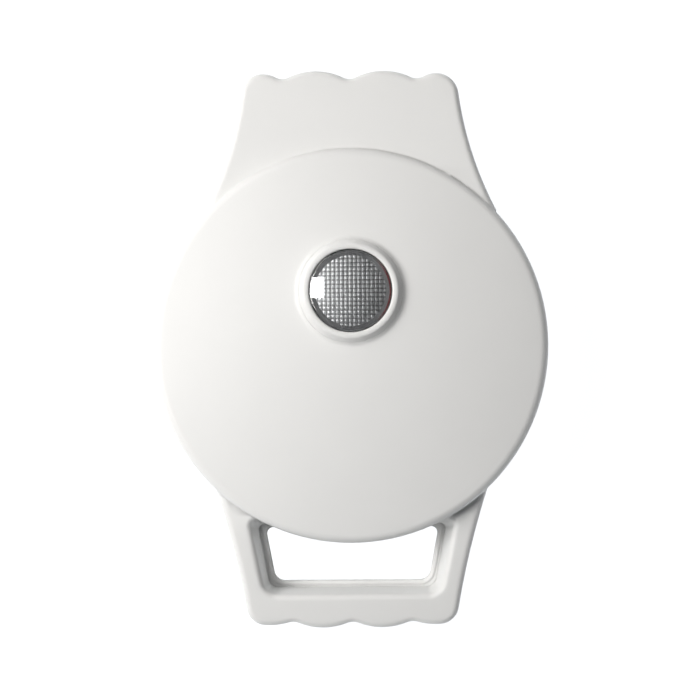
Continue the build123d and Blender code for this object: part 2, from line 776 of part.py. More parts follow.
def cord_clamp():
    """Bar over the cord's place, arched in the middle and screwed down at both ends."""
    length = 2 * (clamp_screw_x + boss_radius)
    bar = Pos(0, gland_z + clamp_bar / 2) * Rectangle(length, clamp_bar)
    arch = Pos(0, gland_z) * (Circle(gland_bore_radius + clamp_bar) - Circle(gland_bore_radius))
    above = Pos(0, gland_z + length / 2) * Rectangle(length, length)
    bar -= Pos(0, gland_z) * Circle(gland_bore_radius)
    solid = extrude(Plane.XZ * (bar + (arch & above)), clamp_depth / 2, both=True)
    bore = Pos(0, 0, gland_z) * Cylinder(screw_bore, 4 * clamp_bar)
    bores = [Pos(x, 0, 0) * bore for x in (-clamp_screw_x, clamp_screw_x)]
    return Pos(0, clamp_y, 0) * (solid - bores)


def terminal_block():
    """Three-way block: screw wells from above and wire holes through from front to back."""
    floor_z = base_bottom_z + wall
    size = (block_width, block_depth, block_height)
    block = Pos(0, block_y, floor_z + block_height / 2) * Box(*size)
    block = fillet(block.edges().filter_by(Axis.Z), block_corner_radius)
    cuts = []
    for i in (-1, 0, 1):
        x = i * block_screw_pitch
        well = Cylinder(block_bore_radius, block_height)
        cuts.append(Pos(x, block_y, floor_z + block_height) * well)
        wire = Rot(90, 0, 0) * Cylinder(block_bore_radius, block_depth + 2)
        cuts.append(Pos(x, block_y, floor_z + block_height / 3) * wire)
    return block - cuts


# Cooking side, drawn for the base; the lid's is its mirror image


def cavity_section(above):
    """Half section of one ring cavity: drafted walls tangent to a round bottom."""
    a = radians(cavity_draft)
    half = (donut_outer_radius - donut_hole_radius) / 2
    middle = (donut_outer_radius + donut_hole_radius) / 2
    radius = (half * cos(a) - cavity_depth * sin(a)) / (1 - sin(a))
    centre_z = radius - cavity_depth
    reach, tangent_z = radius * cos(a), centre_z - radius * sin(a)
    spread = half + above * tan(a)
    outline = Curve() + [
        Line((middle + spread, above), (middle + reach, tangent_z)),
        ThreePointArc((middle + reach, tangent_z), (middle, -cavity_depth), (middle - reach, tangent_z)),
        Line((middle - reach, tangent_z), (middle - spread, above)),
        Line((middle - spread, above), (middle + spread, above)),
    ]
    return make_face(outline)


def clip_positions():
    return round_positions(clip_count, clip_radius, 90)


def cooking_plate():
    """Cast plate with seven ring cavities, backs that follow them and a rib for the element."""
    web_z = -(plate_rim_thickness + frame_thickness)
    back_z = -(cavity_depth + casting_wall)
    plate = disc(plate_radius, -plate_rim_thickness, 0) + disc(plate_skirt_radius, web_z, 0)
    shell_radius = donut_outer_radius + casting_wall
    low_radius = shell_radius + back_z * tan(radians(cavity_draft))
    back = make_face(Polyline((0, -1), (shell_radius, -1), (low_radius, back_z), (0, back_z), close=True))
    lower = back.vertices().filter_by(lambda v: v.X > 1 and v.Y < -1.5)
    bump = spun(fillet(lower, casting_edge_radius))
    groove = heater_tube_radius + heater_clearance
    tube_z = heater_z - plate_face_z
    rib_low = tube_z - heater_sink
    rib = Pos(heater_ring_radius, (rib_low + web_z) / 2)
    rib = rib * Rectangle(2 * heater_rib_half_width, web_z - rib_low)
    rib -= Pos(heater_ring_radius, tube_z) * Circle(groove)
    rib -= Pos(heater_ring_radius, tube_z - groove) * Rectangle(2 * groove, 2 * groove)
    span = 360 - heater_open_angle
    rib = Rot(0, 0, 90 + heater_open_angle / 2) * revolve(Plane.XZ * rib, Axis.Z, span)
    bosses = at_each(clip_positions(), disc(boss_radius, web_z - clip_step, web_z))
    ear_bosses = at_each(ear_places, disc(thermostat_ear_radius, back_z - thermostat_boss_height, back_z))
    plate += at_each(cavity_positions, bump) + [rib] + bosses + ear_bosses
    cuts = at_each(cavity_positions, spun(cavity_section(1.0)))
    clip_z = web_z - clip_step - clip_thickness
    cuts += at_each(clip_positions(), disc(screw_bore, clip_z, clip_z + plate_screw_length + screw_clearance))
    ear_z = back_z - thermostat_boss_height - thermostat_ear_thickness
    cuts += at_each(ear_places, disc(screw_bore, ear_z, ear_z + short_screw_length + screw_clearance))
    return Pos(0, 0, plate_face_z) * (plate - cuts)


def heater_end(side):
    """Last point of the ring, its direction towards the free gap, and the end of the leg."""
    angle = radians(90 + side * heater_open_angle / 2)
    start = Vector(heater_ring_radius * cos(angle), heater_ring_radius * sin(angle), heater_z)
    along = Vector(side * sin(angle), -side * cos(angle), 0)
    return start, along


def heater():
    """Tube bent to an open ring whose two ends turn away from the plate."""
    bend = heater_bend_radius
    ring = []
    legs = []
    for side in (1, -1):
        start, along = heater_end(side)
        turn = start + along * bend - Vector(0, 0, bend)
        share = sin(radians(45))
        middle = start + along * bend * share - Vector(0, 0, bend * (1 - share))
        low = turn - Vector(0, 0, heater_leg_length)
        legs += [ThreePointArc(start, middle, turn), Line(turn, low)]
        ring.append(start)
    ring = ThreePointArc(ring[0], (0, -heater_ring_radius, heater_z), ring[1])
    path = Wire([ring.edge()] + [leg.edge() for leg in legs])
    section = Plane(origin=path @ 0, z_dir=path % 0) * Circle(heater_tube_radius)
    return sweep(section, path=path)


def heater_terminals():
    """Insulating bead and connecting pin at each end of the element."""
    solids = []
    for side in (1, -1):
        start, along = heater_end(side)
        tip = start + along * heater_bend_radius
        tip_z = heater_z - heater_bend_radius - heater_leg_length
        bead = disc(terminal_bead_radius, -terminal_bead_length, 0)
        pin = disc(terminal_pin_radius, -terminal_bead_length - terminal_pin_length, 0)
        solids.append(Pos(tip.X, tip.Y, tip_z) * (bead + pin))
    return solids


def plate_clips():
    """Stepped strips from the plate's bosses to the underside of the frame."""
    web_z = plate_face_z - plate_rim_thickness - frame_thickness
    foot_z = web_z - clip_step
    end = plate_radius + clip_reach
    rise = clip_radius + boss_radius + screw_clearance
    top = [(clip_radius - clip_foot, foot_z), (rise, foot_z), (rise + clip_step, web_z), (end, web_z)]
    lean = clip_thickness * tan(radians(22.5))  # keeps the sloping part as thick as the rest
    bottom = [(x + (lean if 0 < i < 3 else 0), z - clip_thickness) for i, (x, z) in enumerate(top)]
    face = make_face(Polyline(*top, *reversed(bottom), close=True))
    strip = extrude(Plane.XZ * face, clip_width / 2, both=True)
    strip -= Pos(clip_radius, 0, 0) * disc(screw_bore, foot_z - beyond, foot_z + 1)
    return [Rot(0, 0, 90 + 360 * i / clip_count) * strip for i in range(clip_count)]


def clip_screws():
    foot_z = plate_face_z - plate_rim_thickness - frame_thickness - clip_step
    screw = Pos(0, 0, foot_z - clip_thickness) * pan_screw(plate_screw_length)
    return at_each(clip_positions(), screw)


def thermostat():
    """Disc thermostat: body against the plate, a flange with two ears and two blade tabs."""
    back = cavity_back_z
    body = disc(thermostat_radius, back - thermostat_height, back)
    body = fillet(body.edges().group_by(Axis.Z)[0], thermostat_edge_radius)
    ear_z = back - thermostat_boss_height
    flange = SlotCenterToCenter(thermostat_ear_pitch, 2 * thermostat_ear_radius)
    body += Pos(0, 0, ear_z - thermostat_ear_thickness) * extrude(flange, thermostat_ear_thickness)
    tab = Box(thermostat_tab_thickness, thermostat_tab_width, 2 * thermostat_tab_length)
    tab_x = (-thermostat_tab_x, thermostat_tab_x)
    body += [Pos(x, 0, back - thermostat_height) * tab for x in tab_x]
    return body - at_each(ear_places, disc(screw_bore, ear_z - 2, ear_z + 1))


def thermostat_screws():
    z = cavity_back_z - thermostat_boss_height - thermostat_ear_thickness
    return at_each(ear_places, Pos(0, 0, z) * pan_screw(short_screw_length))


def heat_shield():
    """Shallow steel dish, open at the rear for the element's ends and in the middle."""
    dish = disc(shield_radius, shield_back_z, shield_face_z + shield_rim)
    dish = fillet(dish.edges().group_by(Axis.Z)[0], shield_corner_radius)
    inner = disc(shield_radius - shield_thickness, shield_face_z, shield_face_z + shield_rim + 1)
    inner = fillet(inner.edges().group_by(Axis.Z)[0], shield_corner_radius - shield_thickness)
    far = shield_radius + beyond
    notch = Rectangle(2 * shield_notch_half_width, far - shield_notch_y)
    notch = extrude(Pos(0, (far + shield_notch_y) / 2) * notch, 2 * parting_z)
    eye = disc(shield_eye_radius, 0, parting_z)
    return dish - [inner] - [notch, eye] - shield_screw_places(disc(screw_bore, -1, 2))


def shield_screws():
    """Screws from the plate's side down into the posts."""
    screw = mirror(pan_screw(short_screw_length), about=Plane.XY)
    return shield_screw_places(Pos(0, 0, shield_thickness) * screw)


# Fasteners of the shells


def hinge_pin(x):
    ear_span = hinge_lug_width + 2 * (hinge_side_gap + hinge_ear_width)
    return hinge_cylinder(hinge_pin_radius, x, ear_span)


def lid_screws():
    return at_each(lid_screw_positions, Pos(0, 0, lid_frame_z) * pan_screw(screw_length))


def base_screws():
    return at_each(end_screw_positions, Pos(0, 0, well_shelf_z) * pan_screw(screw_length))


def clamp_screws():
    screw = mirror(pan_screw(clamp_screw_length), about=Plane.XY)
    screw = Pos(0, clamp_y, gland_z + clamp_bar) * screw
    return [Pos(x, 0, 0) * screw for x in (-clamp_screw_x, clamp_screw_x)]


def lamp_holder_screws():
    return lamp_screw_places(Pos(0, 0, -lamp_flange_thickness) * pan_screw(short_screw_length))


# Sub-parts, one file each


def as_list(shape):
    return shape if isinstance(shape, list) else [shape]


def build_parts():
    parts = {
        "base_cover": base_cover(),
        "base_frame": base_frame(),
        "base_screws": base_screws(),
        "lid_cover": lid_cover(),
        "lid_frame": lid_frame(),
        "lid_screws": lid_screws(),
        "indicator_lens": indicator_lens(),
        "lamp_holder": lamp_holder(),
        "lamp_holder_screws": lamp_holder_screws(),
        "power_lamp": lamp(lamp_x[1]),
        "ready_lamp": lamp(lamp_x[0]),
        "hinge_pin_left": hinge_pin(-hinge_lug_x),
        "hinge_pin_right": hinge_pin(hinge_lug_x),
        "cord_bushing": cord_bushing(),
        "cord_clamp": cord_clamp(),
        "cord_clamp_screws": clamp_screws(),
        "terminal_block": terminal_block(),
    }
    for name, (x, y) in zip(("front_left", "front_right", "rear_left", "rear_right"), foot_places()):
        parts["foot_" + name] = foot(x, y)
    both_sides = {
        "plate": cooking_plate(),
        "plate_clips": plate_clips(),
        "plate_clip_screws": clip_screws(),
        "heater": heater(),
        "heater_terminals": heater_terminals(),
        "thermostat": thermostat(),
        "thermostat_screws": thermostat_screws(),
        "heat_shield": heat_shield(),
        "heat_shield_screws": shield_screws(),
    }
    for name, shape in both_sides.items():
        parts["lower_" + name] = shape
        parts["upper_" + name] = [over_parting(solid) for solid in as_list(shape)]
    return parts


def main():
    os.makedirs("parts", exist_ok=True)
    for name, shape in build_parts().items():
        solids = [solid for piece in as_list(shape) for solid in piece.solids()]
        placed = [Pos(0, origin_shift_y, 0) * solid for solid in solids]
        whole = placed[0] if len(placed) == 1 else Compound(children=placed)
        whole.label = name
        export_step(whole, f"parts/{name}.step")


main()
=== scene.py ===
"""Looks of the mini donut maker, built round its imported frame.

Finishes for every piece, the faceted lens with its foot, the lip round the handle's window, and the floor,
lights and camera. Pieces are drawn in millimetres until their mesh is made; the stage is in metres.
"""

import json
from math import asin, cos, pi, radians, sin, tan

import bmesh
import bpy
import numpy as np
from mathutils import Matrix, Vector

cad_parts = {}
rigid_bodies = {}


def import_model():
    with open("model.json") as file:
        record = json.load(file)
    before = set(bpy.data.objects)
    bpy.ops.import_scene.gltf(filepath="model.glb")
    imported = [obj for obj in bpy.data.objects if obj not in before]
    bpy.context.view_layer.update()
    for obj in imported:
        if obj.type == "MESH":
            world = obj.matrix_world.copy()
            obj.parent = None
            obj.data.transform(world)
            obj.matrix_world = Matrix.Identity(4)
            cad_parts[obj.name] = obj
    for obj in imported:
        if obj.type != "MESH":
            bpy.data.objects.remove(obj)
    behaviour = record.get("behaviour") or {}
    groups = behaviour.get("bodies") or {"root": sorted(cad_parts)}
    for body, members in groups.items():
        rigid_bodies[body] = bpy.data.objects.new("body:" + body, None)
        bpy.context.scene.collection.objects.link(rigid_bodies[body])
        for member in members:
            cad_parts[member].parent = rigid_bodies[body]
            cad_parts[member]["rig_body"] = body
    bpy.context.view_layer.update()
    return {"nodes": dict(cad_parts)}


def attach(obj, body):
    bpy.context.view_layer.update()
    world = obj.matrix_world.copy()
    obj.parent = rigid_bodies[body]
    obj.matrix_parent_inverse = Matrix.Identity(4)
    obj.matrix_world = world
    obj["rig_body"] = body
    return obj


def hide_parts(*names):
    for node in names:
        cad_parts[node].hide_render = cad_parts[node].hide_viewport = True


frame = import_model()

bl_info = {
    "name": "Mini donut maker looks",
    "version": (1, 0, 0),
    "blender": (4, 5, 0),
    "location": "View3D > Sidebar > Donut maker",
    "description": "Finishes, faceted lens, floor, light and camera for the packed mini donut maker",
    "category": "Object",
}

MM = 0.001

# The lid's dome, as the part's source has it, in millimetres
BODY_AXIS_Y = 2.05
SHOULDER_RADIUS = 94.9
SHOULDER_Z = 78.5
DOME_RISE = 7.5
DOME_RADIUS = (SHOULDER_RADIUS**2 + DOME_RISE**2) / (2 * DOME_RISE)

# The lens: how far from the dome's middle, its edge above the dome, and where its centre comes to lie
LENS_OFFSET = 26.2
LENS_TILT = asin(LENS_OFFSET / DOME_RADIUS)
LENS_EDGE_Z = 3.39
LENS_CENTRE_Y = 28.3

# The collar round the lens, as steps and places from the lens's axis and up from the dome: how its slope
# falls, where it would meet the lid, and how the lid falls on from there
COLLAR_SLOPE = np.array([3.4, -5.25]) / np.hypot(3.4, 5.25)
COLLAR_CORNER = np.array([25.72, -0.62])
LID_SLOPE = np.array([1.0, -0.047])

# The handle's window in the base: its half width is that at the middle, and its sides lean by the slope
WINDOW_HALF_WIDTH = 39.4
WINDOW_MIDDLE_Y = -103.7
WINDOW_FRONT_Y = -114.8
WINDOW_REAR_Y = -88.0
WINDOW_SLOPE = radians(10.8)

# What the camera frames, in metres: the view's width at a level just under the shoulder. The sensor is in
# millimetres, as Blender has it
VIEW_WIDTH = 0.3385
VIEW_LEVEL = 0.068
SENSOR_WIDTH = 36.0


# Materials


class Number:
    """A number that changes over a surface: Python's operators on it add Math nodes."""

    def __init__(self, finish, socket):
        self.finish = finish
        self.socket = socket

    def math(self, operation, *values, clamp=False):
        """A Math node on these values, in their order."""
        settings = {"operation": operation, "use_clamp": clamp}
        return self.finish.add("ShaderNodeMath", settings, *values)

    def __add__(self, other):
        return self.math("ADD", self, other)

    def __sub__(self, other):
        return self.math("SUBTRACT", self, other)

    def __rsub__(self, other):
        return self.math("SUBTRACT", other, self)

    def __mul__(self, other):
        return self.math("MULTIPLY", self, other)

    def __pow__(self, other):
        return self.math("POWER", self, other)

    def __rpow__(self, other):
        return self.math("POWER", other, self)

    def __abs__(self):
        return self.math("ABSOLUTE", self)

    __radd__ = __add__
    __rmul__ = __mul__

    def cos(self):
        return self.math("COSINE", self)

    def over(self, low, high):
        """0 below low, 1 above high and straight between."""
        return self.math("DIVIDE", self - low, high - low, clamp=True)


class Finish:
    """A material being made. Every node goes in through add()."""

    def __init__(self, name):
        self.material = bpy.data.materials.new(name)
        self.material.use_nodes = True
        self.tree = self.material.node_tree
        self.tree.nodes.clear()
        self.place = self.add("ShaderNodeTexCoord", {}, output="Object")

    def add(self, kind, settings, *values, output=0, **inputs):
        """A node of this kind, its settings made first, then values or links for its sockets.

        values go to the first sockets, where None leaves one as it is, and inputs go by name. A number
        comes back as a Number, and a colour, vector or shader as its socket.
        """
        node = self.tree.nodes.new(kind)
        for name, value in settings.items():
            setattr(node, name, value)
        for name, value in [*enumerate(values), *inputs.items()]:
            if value is None:
                continue
            socket = node.inputs[name]
            value = value.socket if isinstance(value, Number) else value
            if isinstance(value, bpy.types.NodeSocket):
                self.tree.links.new(value, socket)
            else:
                socket.default_value = (*value, 1.0) if socket.type == "RGBA" else value
        made = node.outputs[output] if node.outputs else None
        return Number(self, made) if made and made.type == "VALUE" else made

    def stretched(self, scale):
        """Object coordinates scaled along each axis."""
        sizes = tuple(1.0 / s for s in scale)
        return self.add("ShaderNodeMapping", {"vector_type": "TEXTURE"}, self.place, Scale=sizes)

    def noise(self, scale, detail=2.0, roughness=0.5, place=None):
        """Soft noise from 0 to 1, scale patches to the metre."""
        inputs = {"Scale": scale, "Detail": detail, "Roughness": roughness}
        return self.add("ShaderNodeTexNoise", {}, Vector=place or self.place, **inputs)

    def cells(self, scale):
        """Distance to the nearest of scattered points, in cells."""
        return self.add("ShaderNodeTexVoronoi", {}, output="Distance", Vector=self.place, Scale=scale)

    def axis(self, name):
        """One object coordinate, in metres."""
        return self.add("ShaderNodeSeparateXYZ", {}, self.place, output=name)

    def mix(self, first, second, share):
        """Colour between two others. The node's colours are its seventh and eighth sockets."""
        unused = [None] * 5
        settings = {"data_type": "RGBA"}
        return self.add("ShaderNodeMix", settings, share, *unused, first, second, output=2)

    def bump(self, height, depth, normal=None):
        """Normal of a surface raised by height (0 to 1) times depth in metres."""
        return self.add("ShaderNodeBump", {}, Height=height, Distance=depth, Normal=normal)

    def surface(self, **inputs):
        """Ends the material with a Principled shader."""
        inputs = {name.replace("_", " "): value for name, value in inputs.items()}
        return self.end(self.add("ShaderNodeBsdfPrincipled", {}, **inputs))

    def end(self, shader):
        """Ends the material with any shader."""
        self.add("ShaderNodeOutputMaterial", {}, shader)
        return self.material


def tint(colour, factor):
    """A colour made lighter or darker by a factor."""
    return tuple(min(1.0, c * factor) for c in colour)


def moulded(name, colour, roughness=0.42, grain=0.45, depth=0.006, mottle=0.02, soft=0.0):
    """Moulded plastic with a fine spark-eroded texture and slight unevenness of colour and gloss.

    grain is the size of the texture, depth its height and soft the rounding of edges, in millimetres.
    """
    f = Finish(name)
    broad = f.noise(28.0, 3.0, 0.55)
    fine = f.noise(1000.0 / grain, 2.0, 0.6)
    base = f.mix(tint(colour, 1.0 - mottle), tint(colour, 1.0 + mottle), broad)
    rough = fine * 0.05 + broad * 0.04 + (roughness - 0.045)
    edges = f.add("ShaderNodeBevel", {"samples": 6}, soft * MM) if soft else None
    normal = f.bump(fine, depth * MM, normal=edges)
    return f.surface(Base_Color=base, Roughness=rough, Normal=normal)


def coated(name, colour, fleck):
    """Non-stick coating: dark, softly glossy, with light flecks and the cast metal's slight ripple."""
    f = Finish(name)
    dots = 1.0 - f.cells(1900.0).over(0.05, 0.17)
    scattered = dots * f.noise(700.0, 1.0).over(0.5, 0.58)
    base = f.mix(colour, fleck, scattered * 0.65)
    ripple = f.noise(160.0, 3.0, 0.6)
    fine = f.noise(2600.0, 2.0, 0.7)
    rough = fine * 0.12 + ripple * 0.06 + 0.3
    normal = f.bump(fine, 0.010 * MM, normal=f.bump(ripple, 0.05 * MM))
    coat = scattered * 0.2 + 0.15
    return f.surface(Base_Color=base, Roughness=rough, Normal=normal, Coat_Weight=coat)


def drawn_metal(name, colour, roughness=0.3, along=(1.0, 0.02, 1.0), heat=None):
    """Sheet or bar metal with fine draw lines, and a tint where heat has dulled it."""
    f = Finish(name)
    lines = f.noise(2400.0, 3.0, 0.7, place=f.stretched(along))
    cloud = f.noise(60.0, 3.0, 0.6)
    base = f.mix(tint(colour, 0.92), tint(colour, 1.06), lines)
    if heat:
        base = f.mix(base, heat, cloud.over(0.42, 0.68) * 0.6)
    rough = lines * 0.1 + cloud * 0.12 + (roughness - 0.1)
    normal = f.bump(lines, 0.004 * MM)
    return f.surface(Base_Color=base, Roughness=rough, Metallic=1.0, Normal=normal)


def rubber(name, colour):
    """Matt rubber with a fine grain and a little bloom."""
    f = Finish(name)
    bloom = f.noise(220.0, 3.0, 0.6)
    grain = f.noise(3200.0, 2.0, 0.6)
    base = f.mix(tint(colour, 0.94), tint(colour, 1.08), bloom)
    rough = grain * 0.1 + bloom * 0.1 + 0.62
    return f.surface(Base_Color=base, Roughness=rough, Normal=f.bump(grain, 0.008 * MM))


def signal(name, colour):
    """Tinted lamp body with the faint flow lines of a moulding."""
    f = Finish(name)
    flow = f.noise(900.0, 2.0, 0.5, place=f.stretched((1.0, 1.0, 0.3)))
    base = f.mix(tint(colour, 0.8), tint(colour, 1.15), flow)
    rough = flow * 0.06 + 0.12
    normal = f.bump(flow, 0.003 * MM)
    return f.surface(Base_Color=base, Roughness=rough, Coat_Weight=flow * 0.2 + 0.6, Normal=normal)


def reflector(name, glint_colour, groove_shade_colour, pitch):
    """Silvered facets, each cell's colour painted with light and shade: a glint in its middle and shade in
    its grooves, and a little uneven.

    A cell is |cos(pi x / pitch)| times |cos(pi y / pitch)|, pitch in millimetres. The facets at the front
    right are darker with painted shade, away from where the lights reflect.
    """
    f = Finish(name)
    turn = pi / (pitch * MM)
    x, y = f.axis("X"), f.axis("Y") - LENS_CENTRE_Y * MM
    # painted highlight and shade: near 1 in each facet's middle as a glint, near 0 in its grooves as shade
    cell = abs((x * turn).cos()).over(0.12, 0.7) * abs((y * turn).cos()).over(0.12, 0.7)
    patch = f.noise(260.0, 2.0, 0.5)
    fine = f.noise(5200.0, 2.0, 0.6)
    # painted shade: the facets towards the front right are darkened
    corner = (x * 0.7 - y).over(4.0 * MM, 15.0 * MM)
    share = cell * (patch.over(0.3, 0.6) * 0.8 + 0.8) * (1.0 - corner * 0.45)
    rough = fine * 0.06 + patch * 0.1 + 0.32
    metal = patch * 0.3 + 0.4
    normal = f.bump(fine, 0.002 * MM)
    base = f.mix(groove_shade_colour, glint_colour, share)
    return f.surface(Base_Color=base, Metallic=metal, Roughness=rough, Normal=normal)


def lens_wall(name, dark, light, glint):
    """The lens's own wall: dark in its depth, with painted light that makes it lighter at its right and its
    rim, and a painted red reflection of the power lamp.
    """
    f = Finish(name)
    streak = f.noise(240.0, 3.0, 0.6)
    x, y = f.axis("X"), f.axis("Y") - LENS_CENTRE_Y * MM
    r = (x * x + y * y) ** 0.5
    # painted light: lighter towards +X and in a thin band at the rim
    painted_light = x.over(6.0 * MM, 18.0 * MM) * 0.45 + r.over(18.6 * MM, 19.2 * MM) * 0.25
    base = f.mix(dark, light, streak.over(0.3, 0.7) * 0.14 + painted_light)
    # painted reflection: the red of the power lamp near the rim at +X
    red = r.over(18.4 * MM, 18.8 * MM) * x.over(12.0 * MM, 18.0 * MM) * 0.75
    rough = streak * 0.1 + 0.2
    normal = f.bump(streak, 0.02 * MM)
    return f.surface(Base_Color=f.mix(base, glint, red), Roughness=rough, Normal=normal)


def clear_cap(name):
    """Clear moulding that lets what lies under it show and mirrors the lights by its Fresnel share."""
    f = Finish(name)
    haze = f.noise(300.0, 2.0, 0.5)
    normal = f.bump(haze, 0.004 * MM)
    through = f.add("ShaderNodeBsdfTransparent", {}, (0.96, 0.965, 0.97))
    mirror = {"Metallic": 1.0, "Roughness": haze * 0.02 + 0.03, "Normal": normal}
    gloss = f.add("ShaderNodeBsdfPrincipled", {}, (1.0, 1.0, 1.0), **mirror)
    share = f.add("ShaderNodeFresnel", {}, 1.56) * 1.8 + haze * 0.01
    return f.end(f.add("ShaderNodeMixShader", {}, share, through, gloss))


def lit_floor(name, dark, light, glow, strength):
    """Matt floor, faintly clouded, with a glow of its own that keeps it pale between the lights."""
    f = Finish(name)
    base = f.mix(dark, light, f.noise(2.0, 2.0))
    return f.surface(Base_Color=base, Roughness=0.9, Emission_Color=glow, Emission_Strength=strength)


# Shapes


def add_piece(name, mesh, material, body, slot, *nodes):
    """A finished piece: its mesh in place, one material, riding on a body and standing for CAD nodes."""
    piece = bpy.data.objects.new(name, mesh)
    bpy.context.scene.collection.objects.link(piece)
    mesh.materials.clear()
    mesh.materials.append(material)
    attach(piece, body)
    if nodes:
        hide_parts(*nodes)
    return piece


def smooth(mesh, sharp=None, merge=0.001, outwards=False):
    """Makes points nearer than merge, in millimetres, one and the faces smooth.

    Edges that turn by more than sharp, in degrees, stay sharp. The faces are turned outwards if asked.
    """
    work = bmesh.new()
    work.from_mesh(mesh)
    bmesh.ops.remove_doubles(work, verts=work.verts, dist=merge * MM)
    if outwards:
        bmesh.ops.recalc_face_normals(work, faces=work.faces)
    work.to_mesh(mesh)
    work.free()
    mesh.shade_smooth()
    if sharp:
        mesh.set_sharp_from_angle(angle=radians(sharp))


def mesh_from(name, points, faces, sharp=None):
    """A smooth mesh from arrays of points in millimetres and of quads, its faces turned outwards."""
    mesh = bpy.data.meshes.new(name)
    mesh.from_pydata((np.asarray(points, float) * MM).tolist(), [], np.asarray(faces, int).tolist())
    smooth(mesh, sharp, merge=0.002, outwards=True)
    return mesh


def grid_faces(rows, columns, closed=False):
    """Quads between the points of a grid; closed joins the last column to the first."""
    across = columns if closed else columns - 1
    i, j = np.meshgrid(np.arange(rows - 1), np.arange(across), indexing="ij")
    near, far = i * columns, (i + 1) * columns
    k = (j + 1) % columns
    return np.stack([near + j, near + k, far + k, far + j], -1).reshape(-1, 4)


def spun(profile, steps=128):
    """Surface of revolution about Z: each profile point (r, z) goes round at (r cos t, r sin t, z)."""
    r, z = np.asarray(profile, float).T
    t = np.linspace(0.0, 2 * pi, steps, endpoint=False)
    ring = np.stack([np.outer(r, np.cos(t)), np.outer(r, np.sin(t)), np.outer(z, np.ones(steps))], -1)
    return ring.reshape(-1, 3), grid_faces(len(r), steps, closed=True)


def arc(centre, start, turn, steps):
    """Points on a circle: centre + start cos a + quarter sin a, for a from 0 to turn.

    quarter is start turned by a right angle.
    """
    a = np.linspace(0.0, turn, steps + 1)[:, None]
    quarter = np.array([-start[1], start[0]])
    return centre + start * np.cos(a) + quarter * np.sin(a)


def rounded_profile(points, radii, steps=5):
    """A profile with an arc of the given radius at each corner.

    Where the two sides stand at an angle 2 h, the arc's centre is radius / sin h from the corner on the
    line that halves the angle, and the arc touches both sides radius / tan h from the corner.
    """
    points = np.asarray(points, float)
    made = [points[:1]]
    for before, corner, after, radius in zip(points, points[1:], points[2:], radii):
        a = (before - corner) / np.linalg.norm(before - corner)
        b = (after - corner) / np.linalg.norm(after - corner)
        half = np.arccos(np.clip(a @ b, -1, 1)) / 2
        centre = corner + (a + b) / np.linalg.norm(a + b) * radius / sin(half)
        first = corner + a * radius / tan(half) - centre
        last = corner + b * radius / tan(half) - centre
        turn = np.arctan2(first[0] * last[1] - first[1] * last[0], first @ last)
        made.append(arc(centre, first, turn, steps))
    return np.vstack([*made, points[-1:]])


def on_lens_axis(points):
    """Points drawn about Z from the dome's surface, tilted about the dome's centre to the lens's axis."""
    centre_z = SHOULDER_Z + DOME_RISE - DOME_RADIUS
    turn = Matrix.Rotation(-LENS_TILT, 3, "X")
    raised = np.asarray(points, float) + [0.0, 0.0, DOME_RADIUS]
    return raised @ np.array(turn).T + [0.0, BODY_AXIS_Y, centre_z]


def smoothed(node, name, material, slot, sharp=32.0):
    """A copy of a CAD node, its doubles merged and its flat facets shaded as the curves they follow."""
    source = frame["nodes"][node]
    mesh = source.data.copy()
    mesh.name = name
    smooth(mesh, sharp)
    piece = add_piece(name, mesh, material, source["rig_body"], slot, node)
    weighted = piece.modifiers.new("Weighted normals", "WEIGHTED_NORMAL")
    weighted.keep_sharp = True
    weighted.weight = 50


def dress(material, *nodes):
    """A finish for CAD nodes that stay."""
    for node in nodes:
        slots = frame["nodes"][node].data.materials
        slots.clear()
        slots.append(material)


# Sizes and colours that a user would change


class ShellLooks(bpy.types.PropertyGroup):
    white: bpy.props.FloatVectorProperty(
        name="White",
        description="Colour of the outer shells",
        subtype="COLOR",
        default=(0.86, 0.86, 0.85),
    )
    inner: bpy.props.FloatVectorProperty(
        name="Frames",
        description="Colour of the inner frames",
        subtype="COLOR",
        default=(0.05, 0.05, 0.052),
    )
    roughness: bpy.props.FloatProperty(
        name="Roughness",
        description="How matt the outer shells are",
        subtype="FACTOR",
        default=0.42,
        min=0.05,
        max=1.0,
    )
    softness: bpy.props.FloatProperty(
        name="Softness",
        description="Rounding of the shells' edges",
        unit="LENGTH",
        default=1.8 * MM,
        min=0.0,
    )


class LensLooks(bpy.types.PropertyGroup):
    radius: bpy.props.FloatProperty(
        name="Radius",
        description="From the lens's axis to its edge",
        unit="LENGTH",
        default=19.8 * MM,
        min=5.0 * MM,
    )
    crown: bpy.props.FloatProperty(
        name="Crown",
        description="Height of the lens's middle above its edge",
        unit="LENGTH",
        default=1.6 * MM,
        min=0.1 * MM,
    )
    grid_radius: bpy.props.FloatProperty(
        name="Grid radius",
        description="From the lens's axis to the edge of the faceted part",
        unit="LENGTH",
        default=17.0 * MM,
        min=1.0 * MM,
    )
    pitch: bpy.props.FloatProperty(
        name="Pitch",
        description="Width of one facet",
        unit="LENGTH",
        default=2.08 * MM,
        min=0.3 * MM,
    )
    depth: bpy.props.FloatProperty(
        name="Facet depth",
        description="Height of a facet's middle above its edge",
        unit="LENGTH",
        default=0.3 * MM,
        min=0.0,
    )


class CookingLooks(bpy.types.PropertyGroup):
    coating: bpy.props.FloatVectorProperty(
        name="Coating",
        description="Colour of the cooking plates",
        subtype="COLOR",
        default=(0.028, 0.028, 0.03),
    )


class StageLooks(bpy.types.PropertyGroup):
    distance: bpy.props.FloatProperty(
        name="Camera height",
        description="Camera above the floor",
        unit="LENGTH",
        default=1.8,
        min=0.5,
    )
    key: bpy.props.FloatProperty(
        name="Softbox",
        description="Power of the wide light at the left",
        unit="POWER",
        default=16.2,
        min=0.0,
    )
    ambient: bpy.props.FloatProperty(
        name="Ambient",
        description="Strength of the even light all round",
        default=0.06,
        min=0.0,
    )


# Pieces


class Maker(bpy.types.Operator):
    """Base of the operators here."""

    bl_options = {"REGISTER", "UNDO"}


